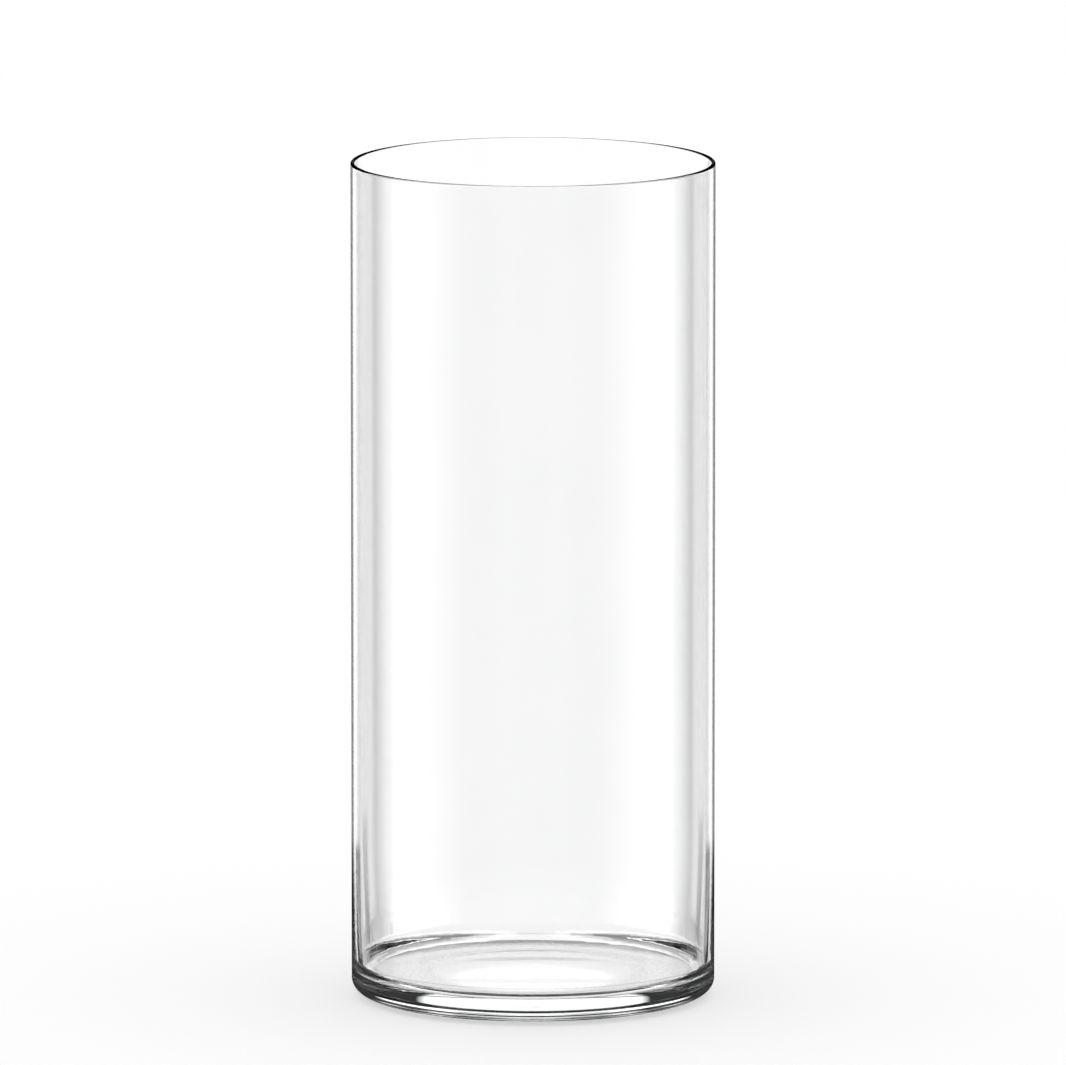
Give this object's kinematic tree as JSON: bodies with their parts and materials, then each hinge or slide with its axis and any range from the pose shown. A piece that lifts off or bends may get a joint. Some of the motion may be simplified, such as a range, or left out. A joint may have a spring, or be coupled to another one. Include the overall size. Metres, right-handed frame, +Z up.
{
  "type": "cylinder vase",
  "caption": "Tall straight-sided round vase of clear glass, open at the top, with a thin wall, a smooth rim and a thick foot with a rounded heel.",
  "frame": {"origin": "centre of the ring that the vase stands on, at the level of the table", "axes": "+Z up along the vase's axis, from the foot to the mouth; X and Y are any two level directions"},
  "size_m": [0.1296, 0.1296, 0.3],
  "materials": {
    "clear_glass": "clear, fire-polished, very smooth"
  },
  "bodies": {
    "root": {"vase": "clear_glass"}
  },
  "joints": []
}
